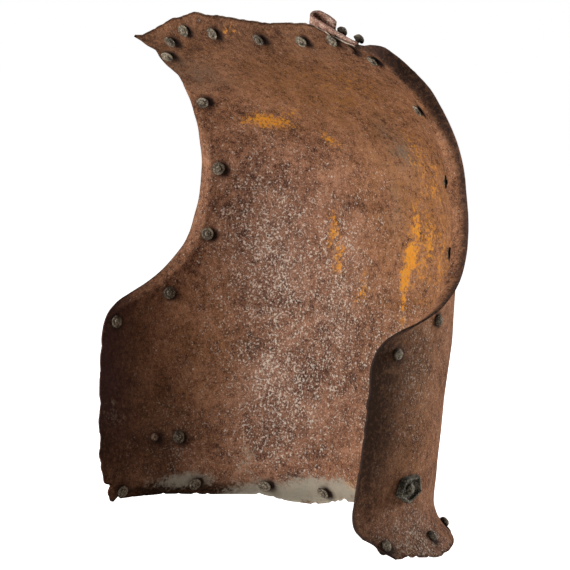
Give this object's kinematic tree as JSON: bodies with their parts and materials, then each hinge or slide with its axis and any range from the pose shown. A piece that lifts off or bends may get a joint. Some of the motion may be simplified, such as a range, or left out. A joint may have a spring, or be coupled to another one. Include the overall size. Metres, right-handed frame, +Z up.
{
  "type": "cavalry cuirass backplate",
  "caption": "Curved iron back armour with turned armhole rims, a flared waist, lining rivets, a folded shoulder strap piece and a belt lug",
  "frame": {"origin": "bottom centre of the bounding box, on the surface that the waist rim rests on", "axes": "+Z up, -Y the way the wearer faces, +X the wearer's left"},
  "size_m": [0.3804, 0.2064, 0.4784],
  "materials": {
    "rusted_iron": "rusted and pitted",
    "grey_rivet_iron": "dull grey-green patina",
    "dark_fitting_iron": "dark rusted"
  },
  "bodies": {
    "root": {"armhole_rivet_left_1": "grey_rivet_iron", "armhole_rivet_left_2": "grey_rivet_iron", "armhole_rivet_left_3": "grey_rivet_iron", "armhole_rivet_left_4": "grey_rivet_iron", "armhole_rivet_left_5": "grey_rivet_iron", "armhole_rivet_left_6": "grey_rivet_iron", "armhole_rivet_right_1": "grey_rivet_iron", "armhole_rivet_right_2": "grey_rivet_iron", "armhole_rivet_right_3": "grey_rivet_iron", "armhole_rivet_right_4": "grey_rivet_iron", "armhole_rivet_right_5": "grey_rivet_iron", "armhole_rivet_right_6": "grey_rivet_iron", "back_plate": "rusted_iron", "belt_lug_left": "dark_fitting_iron", "belt_plate_right": "dark_fitting_iron", "belt_rivet_left": "grey_rivet_iron", "belt_rivet_right_1": "grey_rivet_iron", "belt_rivet_right_2": "grey_rivet_iron", "neck_rivet_1": "grey_rivet_iron", "neck_rivet_2": "grey_rivet_iron", "neck_rivet_3": "grey_rivet_iron", "strap_loop_left": "dark_fitting_iron", "strap_plate_right": "dark_fitting_iron", "strap_rivet_left_1": "grey_rivet_iron", "strap_rivet_left_2": "grey_rivet_iron", "strap_rivet_right_1": "grey_rivet_iron", "strap_rivet_right_2": "grey_rivet_iron", "waist_rivet_left_1": "grey_rivet_iron", "waist_rivet_left_2": "grey_rivet_iron", "waist_rivet_left_3": "grey_rivet_iron", "waist_rivet_rear_1": "grey_rivet_iron", "waist_rivet_rear_2": "grey_rivet_iron", "waist_rivet_rear_3": "grey_rivet_iron", "waist_rivet_right_1": "grey_rivet_iron", "waist_rivet_right_2": "grey_rivet_iron", "waist_rivet_right_3": "grey_rivet_iron"}
  },
  "joints": []
}
